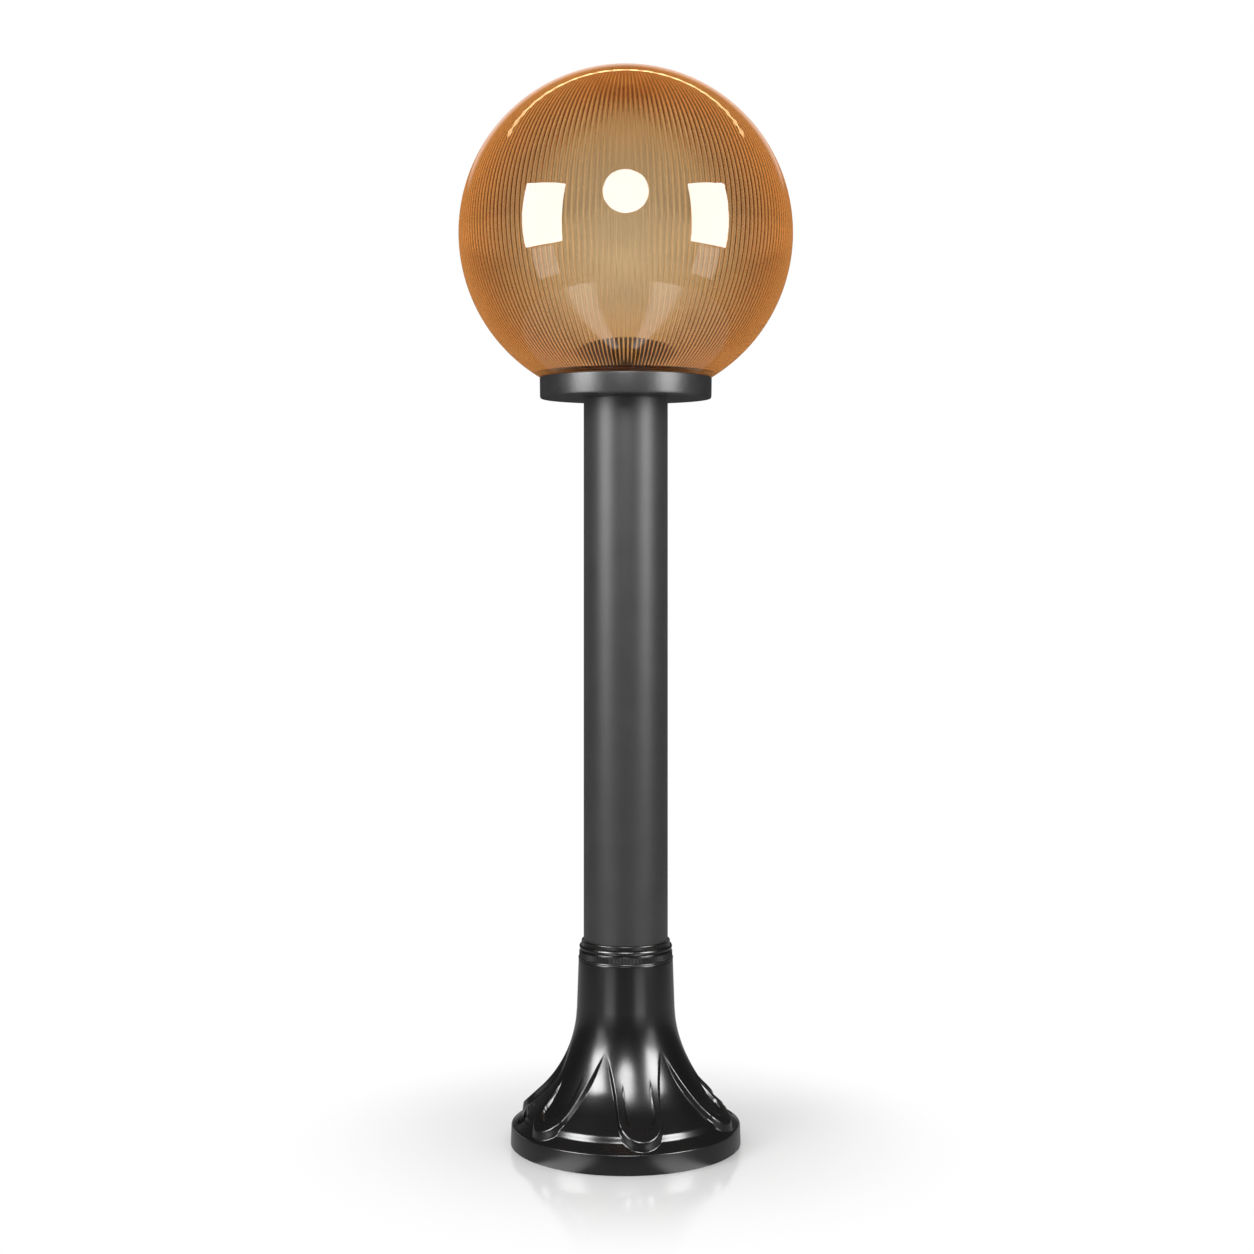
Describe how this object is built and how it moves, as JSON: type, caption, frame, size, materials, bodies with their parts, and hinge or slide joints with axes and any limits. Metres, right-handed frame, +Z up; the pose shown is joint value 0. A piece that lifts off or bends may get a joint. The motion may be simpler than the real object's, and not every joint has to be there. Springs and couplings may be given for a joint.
{
  "type": "globe light post",
  "caption": "Low garden light post: a ribbed amber globe in a round collar on a slim metal post, standing in a flared foot with raised leaves.",
  "frame": {"origin": "on the ground, at the middle of the foot", "axes": "+Z up the post; -Y towards the leaf that faces the viewer; the two anchor holes lie along X"},
  "size_m": [0.25, 0.25, 0.8045],
  "materials": {
    "foot_black": "satin black moulded plastic with soft highlights",
    "post_coat": "aluminium tube, powder coated matte dark grey",
    "collar_grey": "fine-grained dark grey moulded plastic",
    "globe_amber": "clear amber acrylic, smooth outside and ribbed inside",
    "gasket_black": "black rubber",
    "gasket_white": "pale silicone rubber",
    "zinc_steel": "zinc plated steel",
    "strap_steel": "galvanised steel strip",
    "brass": "plain brass",
    "holder_black": "black thermosetting moulding",
    "insert_white": "off-white insulating body",
    "lead_brown": "brown heat-proof insulation",
    "lead_blue": "blue heat-proof insulation"
  },
  "bodies": {
    "root": {"foot": "foot_black", "post_tube": "post_coat", "lower_gasket": "gasket_black", "upper_gasket": "gasket_black", "collar": "collar_grey", "globe": "globe_amber", "globe_gasket": "gasket_white", "tie_rod": "zinc_steel", "rod_top_washer": "zinc_steel", "rod_top_nut": "zinc_steel", "rod_bottom_washer": "zinc_steel", "rod_bottom_nut": "zinc_steel", "cable_grommet": "gasket_black", "holder_strap": "strap_steel", "strap_screws": "zinc_steel", "holder_nipple": "brass", "nipple_nut": "brass", "holder_cap": "holder_black", "holder_barrel": "holder_black", "holder_insert": "insert_white", "thread_shell": "brass", "centre_contact": "brass", "side_contact": "brass", "contact_screws": "brass", "terminal_block": "insert_white", "terminal_inserts": "brass", "terminal_screws": "zinc_steel", "block_screw": "zinc_steel", "live_lead": "lead_brown", "neutral_lead": "lead_blue"}
  },
  "joints": []
}
